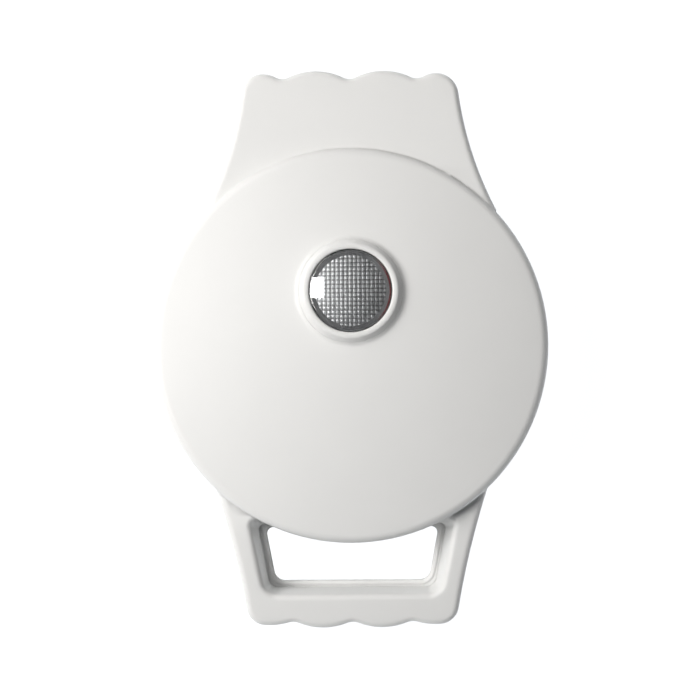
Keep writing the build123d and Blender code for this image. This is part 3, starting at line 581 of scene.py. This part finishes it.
class DONUT_OT_shells(Maker):
    """Outer shells and inner frames, smooth and in moulded plastic"""

    bl_idname = "donut.shells"
    bl_label = "Shells and frames"

    def execute(self, context):
        looks = context.scene.shell_looks
        soft = looks.softness / MM
        white = moulded("moulded_white", looks.white, looks.roughness, soft=soft)
        inner = moulded("frame_moulding", looks.inner, 0.5, grain=0.5, depth=0.02, mottle=0.08)
        smoothed("lid_cover", "lid_shell", white, "shell")
        smoothed("base_cover", "base_shell", white, "shell")
        smoothed("lid_frame", "lid_inner_frame", inner, "inner_frame")
        smoothed("base_frame", "base_inner_frame", inner, "inner_frame")
        return {"FINISHED"}


class DONUT_OT_seam(Maker):
    """Lip that closes the seam round the window of the handle"""

    bl_idname = "donut.seam"
    bl_label = "Window seam"

    def execute(self, context):
        looks = context.scene.shell_looks
        white = moulded("lip_white", looks.white, looks.roughness)
        points, faces = self.lip(low=44.1, high=45.4)
        add_piece("window_lip", mesh_from("window_lip", points, faces, 30.0), white, "base", "shell")
        return {"FINISHED"}

    def lip(self, low, high):
        """A rectangle from low to high and from an inner path to an outer one, carried along both."""
        inner, outer = self.path(grow=2.2, radius=7.2), self.path(grow=4.0, radius=5.4)
        corners = [(inner, low), (inner, high), (outer, high), (outer, low)]
        rows = [np.insert(path, 2, z, axis=1) for path, z in corners]
        points = np.stack(rows, axis=1).reshape(-1, 3) + [0.0, BODY_AXIS_Y, 0.0]
        last = len(points) - 4
        ends = [(0, 1, 2, 3), (last + 3, last + 2, last + 1, last)]
        return points, np.vstack([grid_faces(len(inner), 4, closed=True), ends])

    def path(self, grow, radius):
        """Three sides of the base's window, moved outwards by grow, their two corners of a radius.

        A side is the line x = half width + grow / cos(slope) + (y - middle) tan(slope).
        """
        side = WINDOW_HALF_WIDTH + grow / cos(WINDOW_SLOPE)
        y = np.array([WINDOW_REAR_Y, WINDOW_FRONT_Y - grow])
        x = side + (y - WINDOW_MIDDLE_Y) * tan(WINDOW_SLOPE)
        points = np.column_stack([[*x, *-x[::-1]], [*y, *y[::-1]]])
        return rounded_profile(points, [radius] * 2, steps=12)


class DONUT_OT_collar(Maker):
    """Soft foot of the collar, where it runs out on the lid"""

    bl_idname = "donut.collar"
    bl_label = "Collar foot"

    def execute(self, context):
        looks = context.scene.shell_looks
        points, faces = spun(self.section(reach=1.5, lift=0.012))
        mesh = mesh_from("collar_foot", on_lens_axis(points), faces, 60.0)
        soft = looks.softness / MM
        white = moulded("collar_white", looks.white, looks.roughness, soft=soft)
        add_piece("collar_foot", mesh, white, "lid", "shell")
        return {"FINISHED"}

    def section(self, reach, lift):
        """Arc tangent to the collar's slope and to the lid, then back below their surface.

        It touches both a reach from their corner, with a radius of reach / tan(turn / 2), where turn is the
        angle between them. It stands a lift clear of them.
        """
        first, last = COLLAR_CORNER - COLLAR_SLOPE * reach, COLLAR_CORNER + LID_SLOPE * reach
        turn = np.arccos(COLLAR_SLOPE @ LID_SLOPE)
        inwards = np.array([-COLLAR_SLOPE[1], COLLAR_SLOPE[0]])
        centre = first + inwards * reach / tan(turn / 2)
        skin = arc(centre, first - centre, turn, steps=23) + lift
        below = [first - 0.3, last - [0.0, 0.4], COLLAR_CORNER - [reach, 0.4]]
        return np.vstack([below[0], skin, *below[1:], below[0]])


class DONUT_OT_lens(Maker):
    """Clear crowned lens, its dark edge and the faceted grid under it"""

    bl_idname = "donut.lens"
    bl_label = "Lens"

    def execute(self, context):
        looks = context.scene.lens_looks
        edge, grid_edge = looks.radius / MM, looks.grid_radius / MM
        self.cap(edge, looks.crown / MM)
        self.wall(grid_edge, edge)
        self.grid(grid_edge, looks.pitch / MM, looks.depth / MM)
        return {"FINISHED"}

    def cap(self, edge, crown, corner=0.4, corner_z=3.0, thickness=1.0):
        """Thin clear shell: the crown, a small round at the edge, the wall, and the crown again below.

        The crown is a sphere cap, at a distance r from the axis
        edge height + crown - sphere + sqrt(sphere^2 - r^2), with sphere = (edge^2 + crown^2) / (2 crown).
        """
        sphere = (edge**2 + crown**2) / (2 * crown)
        outwards, inwards = np.linspace(0.0, edge - corner, 40), np.linspace(edge, 0.0, 30)
        r = np.concatenate([outwards, inwards])
        z = LENS_EDGE_Z + crown - sphere + np.sqrt(sphere**2 - r**2)
        top, under = np.split(np.column_stack([r, z]), [len(outwards)])
        a = np.linspace(0.15, pi / 2, 6)
        turn = np.column_stack([edge - corner + corner * np.sin(a), corner_z + corner * np.cos(a)])
        points, faces = spun(np.vstack([top, turn, under - [0.0, thickness]]))
        mesh = mesh_from("lens_cap", on_lens_axis(points), faces, 40.0)
        add_piece("lens_cap", mesh, clear_cap("clear_lens"), "lid", "lens", "indicator_lens")

    def wall(self, inner, outer):
        """Ring from the grid to the collar: the lens's sloping flange, a groove and its wall's bead."""
        flange = [(inner - 0.2, 0.6), (inner, 1.1), (outer - 1.0, 2.0)]
        groove = [(outer - 0.85, 1.7), (outer - 0.7, 1.7)]
        bead = [(outer - 0.6, 2.35), (outer - 0.3, 2.35)]
        below = [(outer - 0.25, 0.4), (inner - 0.2, 0.4), (inner - 0.2, 0.6)]
        radii = [0.1, 0.08, 0.05, 0.05, 0.12, 0.12, 0.05, 0.05]
        points, faces = spun(rounded_profile([*flange, *groove, *bead, *below], radii))
        mesh = mesh_from("lens_edge", on_lens_axis(points), faces, 35.0)
        # its second colour is the painted light and its third the painted red reflection of the power lamp
        grey = lens_wall("lens_depth", (0.27, 0.27, 0.272), (0.95, 0.95, 0.955), (0.6, 0.02, 0.03))
        add_piece("lens_edge", mesh, grey, "lid", "lens")

    def grid(self, edge, pitch, depth, base=0.9, rise=1.8, facet_steps=8):
        """Square pillows over a domed disc.

        z = base + rise (1 - (r / edge)^2) + depth |cos(pi x / pitch) cos(pi y / pitch)|. What lies outside
        the edge is drawn in to it.
        """
        steps = facet_steps * int(2 * edge / pitch + 2)
        axis = (np.arange(steps + 1) - steps / 2) * pitch / facet_steps
        x, y = np.meshgrid(axis, axis, indexing="xy")
        r = np.hypot(x, y)
        pull = np.minimum(1.0, edge / np.maximum(r, 1e-6))
        x, y = x * pull, y * pull
        pillow = np.abs(np.cos(pi * x / pitch) * np.cos(pi * y / pitch))
        z = base + rise * (1.0 - (np.hypot(x, y) / edge) ** 2) + depth * pillow
        points = np.stack([x, y, z], -1).reshape(-1, 3)
        quads = grid_faces(steps + 1, steps + 1)
        inside = (r.reshape(-1)[quads] < edge).any(axis=1)
        mesh = mesh_from("lens_grid", on_lens_axis(points), quads[inside])
        # white is the painted glint of the facets' middles and grey the painted shade of their grooves
        silver = reflector("lens_silver", (1.0, 1.0, 1.0), (0.4, 0.4, 0.405), pitch)
        add_piece("lens_grid", mesh, silver, "lid", "lens")


class DONUT_OT_lamps(Maker):
    """Signal lamps and their holder"""

    bl_idname = "donut.lamps"
    bl_label = "Lamps"

    def execute(self, context):
        dress(signal("lamp_red", (0.75, 0.03, 0.02)), "power_lamp")
        dress(signal("lamp_green", (0.03, 0.5, 0.1)), "ready_lamp")
        dress(moulded("holder_silver", (0.5, 0.5, 0.51), 0.32, mottle=0.05), "lamp_holder")
        return {"FINISHED"}


class DONUT_OT_plates(Maker):
    """Cooking plates in their non-stick coating"""

    bl_idname = "donut.plates"
    bl_label = "Cooking plates"

    def execute(self, context):
        coat = coated("non_stick", context.scene.cooking_looks.coating, (0.32, 0.32, 0.33))
        smoothed("lower_plate", "lower_cooking_plate", coat, "non_stick")
        smoothed("upper_plate", "upper_cooking_plate", coat, "non_stick")
        return {"FINISHED"}


class DONUT_OT_inside(Maker):
    """Elements, shields, thermostats and fasteners"""

    bl_idname = "donut.inside"
    bl_label = "Inside"

    def execute(self, context):
        sheath = drawn_metal("element_sheath", (0.3, 0.29, 0.28), 0.45, heat=(0.16, 0.12, 0.1))
        sheet = drawn_metal("sheet_steel", (0.66, 0.66, 0.66), 0.32)
        zinc = drawn_metal("zinc_plate", (0.6, 0.6, 0.62), 0.34, along=(1.0, 1.0, 0.1))
        ground = drawn_metal("ground_pin", (0.62, 0.62, 0.63), 0.22, along=(0.1, 1.0, 1.0))
        bead = moulded("terminal_bead", (0.62, 0.6, 0.55), 0.4, mottle=0.06)
        body = moulded("thermostat_body", (0.05, 0.03, 0.02), 0.35, mottle=0.15)
        screwed = ("plate_clip", "thermostat", "heat_shield")
        for side in ("lower_", "upper_"):
            dress(sheath, side + "heater")
            dress(bead, side + "heater_terminals")
            dress(body, side + "thermostat")
            dress(sheet, side + "plate_clips", side + "heat_shield")
            dress(zinc, *(side + part + "_screws" for part in screwed))
        dress(zinc, "base_screws", "lid_screws", "lamp_holder_screws", "cord_clamp_screws")
        dress(ground, "hinge_pin_left", "hinge_pin_right")
        return {"FINISHED"}


class DONUT_OT_inlet(Maker):
    """Cord inlet, clamp and terminal block"""

    bl_idname = "donut.inlet"
    bl_label = "Cord inlet"

    def execute(self, context):
        white = moulded("fitting_white", (0.74, 0.74, 0.73), 0.4, mottle=0.03)
        cream = moulded("block_cream", (0.72, 0.7, 0.62), 0.35, mottle=0.04)
        smoothed("cord_bushing", "inlet_bushing", white, "cord_fitting")
        dress(white, "cord_clamp")
        dress(cream, "terminal_block")
        return {"FINISHED"}


class DONUT_OT_feet(Maker):
    """Rubber feet"""

    bl_idname = "donut.feet"
    bl_label = "Feet"

    def execute(self, context):
        grey = rubber("foot_rubber", (0.3, 0.3, 0.3))
        for place in ("front_left", "front_right", "rear_left", "rear_right"):
            smoothed("foot_" + place, "rubber_foot_" + place, grey, "foot")
        return {"FINISHED"}


class DONUT_OT_stage(Maker):
    """Floor, lights and camera"""

    bl_idname = "donut.stage"
    bl_label = "Stage"

    def execute(self, context):
        looks = context.scene.stage_looks
        self.floor(half_width=2.5)
        self.world(looks.ambient)
        self.light("softbox", (-0.9, 0.15, 1.1), (0.8, 0.8), looks.key, (1.0, 0.985, 0.965))
        self.light("near_light", (-0.35, 0.4, 0.5), (0.25, 0.25), 0.4, (1.0, 0.97, 0.93))
        self.light("rear_fill", (-0.75, 0.75, 0.7), (0.6, 0.6), 1.3, (1.0, 0.98, 0.96))
        self.light("front_fill", (0.0, -0.75, 0.75), (0.5, 0.5), 0.6, (0.9, 0.96, 1.0))
        self.light("lens_light", (-0.2355, 0.128, 0.838), (0.136, 0.112), 0.67, (1.0, 1.0, 1.0))
        self.camera(looks.distance, aside=(-0.0005, -0.0001), roll=radians(-0.4))
        context.scene.view_settings.view_transform = "Standard"
        context.scene.view_settings.look = "None"
        return {"FINISHED"}

    def floor(self, half_width):
        """Flat pale floor under the feet: a square round the origin."""
        half = half_width / MM
        points = [(-half, -half, 0), (half, -half, 0), (half, half, 0), (-half, half, 0)]
        mesh = mesh_from("floor", points, [(0, 1, 2, 3)])
        floor = bpy.data.objects.new("floor", mesh)
        bpy.context.scene.collection.objects.link(floor)
        pale = lit_floor("floor_white", (0.2, 0.2, 0.2), (0.22, 0.22, 0.22), (0.96, 0.98, 1.0), 0.99)
        mesh.materials.append(pale)

    def world(self, strength):
        """Even pale surroundings."""
        world = bpy.data.worlds.new("surroundings")
        bpy.context.scene.world = world
        world.use_nodes = True
        background = world.node_tree.nodes["Background"]
        background.inputs["Color"].default_value = (0.99, 0.99, 1.0, 1.0)
        background.inputs["Strength"].default_value = strength

    def light(self, name, place, size, power, colour, aim=(0.0, 0.0, 0.07)):
        """Soft light that faces the middle of the object, its size taken along Y and then across."""
        data = bpy.data.lights.new(name, "AREA")
        data.shape = "RECTANGLE"
        data.size, data.size_y = size
        data.energy = power
        data.color = colour
        lamp = bpy.data.objects.new(name, data)
        bpy.context.scene.collection.objects.link(lamp)
        back = (Vector(place) - Vector(aim)).normalized()
        across = (Vector((0.0, 1.0, 0.0)) - back * back.y).normalized()
        turn = Matrix((across, back.cross(across), back)).transposed()
        lamp.matrix_world = Matrix.Translation(place) @ turn.to_4x4()

    def camera(self, height, aside, roll):
        """Long lens straight above; its focal length is sensor width times distance over view width."""
        data = bpy.data.cameras.new("camera")
        data.sensor_width = SENSOR_WIDTH
        data.lens = SENSOR_WIDTH * (height - VIEW_LEVEL) / VIEW_WIDTH
        data.clip_end = 20.0
        camera = bpy.data.objects.new("camera", data)
        bpy.context.scene.collection.objects.link(camera)
        camera.location = (*aside, height)
        camera.rotation_euler = (0.0, 0.0, roll)
        bpy.context.scene.camera = camera


class DONUT_PT_panel(bpy.types.Panel):
    """Lists the operators and the looks that they use"""

    bl_idname = "DONUT_PT_panel"
    bl_label = "Donut maker"
    bl_space_type = "VIEW_3D"
    bl_region_type = "UI"
    bl_category = "Donut maker"

    def draw(self, context):
        for group, kind in LOOKS:
            box = self.layout.box()
            for name in kind.__annotations__:
                box.prop(getattr(context.scene, group), name)
        for operator in OPERATORS:
            self.layout.operator(operator.bl_idname)


LOOKS = (
    ("shell_looks", ShellLooks),
    ("lens_looks", LensLooks),
    ("cooking_looks", CookingLooks),
    ("stage_looks", StageLooks),
)
OPERATORS = (
    DONUT_OT_shells,
    DONUT_OT_seam,
    DONUT_OT_collar,
    DONUT_OT_lens,
    DONUT_OT_lamps,
    DONUT_OT_plates,
    DONUT_OT_inside,
    DONUT_OT_inlet,
    DONUT_OT_feet,
    DONUT_OT_stage,
)


def register():
    for name, group in LOOKS:
        bpy.utils.register_class(group)
        setattr(bpy.types.Scene, name, bpy.props.PointerProperty(type=group))
    for item in (*OPERATORS, DONUT_PT_panel):
        bpy.utils.register_class(item)


def unregister():
    for item in (DONUT_PT_panel, *reversed(OPERATORS)):
        bpy.utils.unregister_class(item)
    for name, group in LOOKS:
        delattr(bpy.types.Scene, name)
        bpy.utils.unregister_class(group)


def main():
    register()
    for operator in OPERATORS:
        group, name = operator.bl_idname.split(".")
        getattr(getattr(bpy.ops, group), name)()


if __name__ == "__main__":
    main()
